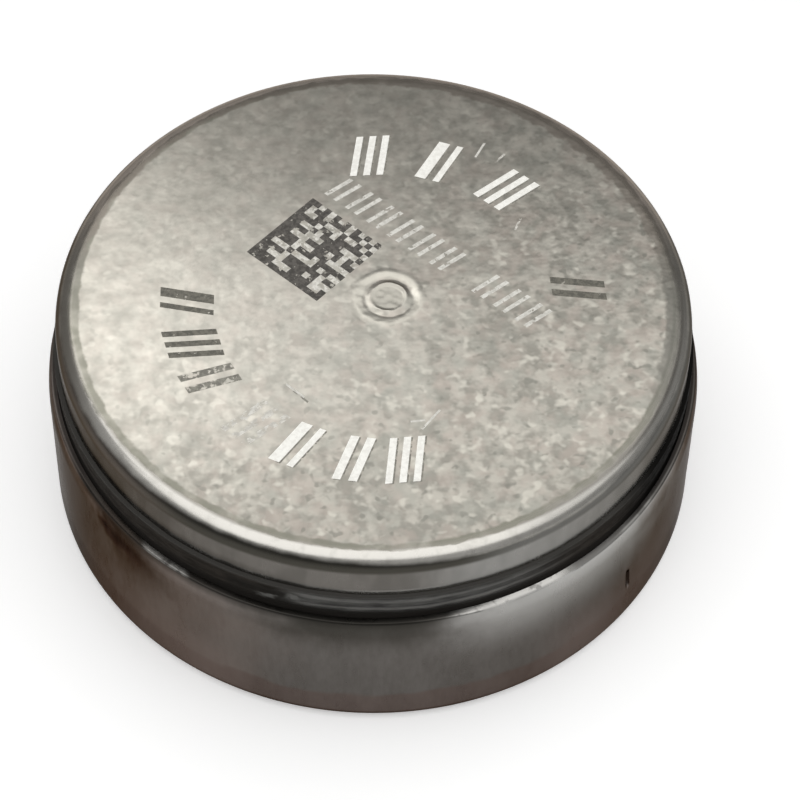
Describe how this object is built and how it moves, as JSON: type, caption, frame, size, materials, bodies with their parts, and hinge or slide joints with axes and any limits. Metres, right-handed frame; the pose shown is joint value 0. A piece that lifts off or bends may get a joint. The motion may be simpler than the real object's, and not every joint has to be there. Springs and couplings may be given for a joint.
{
  "type": "rechargeable lithium coin cell",
  "caption": "Round rechargeable lithium coin cell: a drawn metal cup and a narrower lid pushed into it, a plastic film between their walls, closed round a wound pair of electrode strips.",
  "frame": {"origin": "centre of the cup's flat underside", "axes": "+Z along the cell's axis, from the cup's underside to the lid's face; the marks on the lid read from the -Y side"},
  "size_m": [0.0142, 0.0142, 0.0054],
  "materials": {
    "cup_steel": "drawn nickel-plated steel, satin, a little tarnished",
    "lid_steel": "fine matt steel face with a bright rounded shoulder",
    "film_plastic": "thin dark film, glossy, slightly wrinkled",
    "cathode_coating": "matt black coating on foil",
    "anode_coating": "matt dark grey coating on foil",
    "separator_plastic": "matt white porous film",
    "amber_tape": "thin amber film",
    "aluminium_foil": "bright rolled foil",
    "nickel_foil": "rolled nickel foil",
    "disc_plastic": "thin amber film"
  },
  "bodies": {
    "root": {"cell_cup": "cup_steel", "cell_lid": "lid_steel", "seal_film": "film_plastic", "cathode_strip": "cathode_coating", "anode_strip": "anode_coating", "inner_separator": "separator_plastic", "outer_separator": "separator_plastic", "winding_tape": "amber_tape", "cup_foil": "aluminium_foil", "lid_foil": "nickel_foil", "cup_disc": "disc_plastic", "lid_disc": "disc_plastic"}
  },
  "joints": []
}
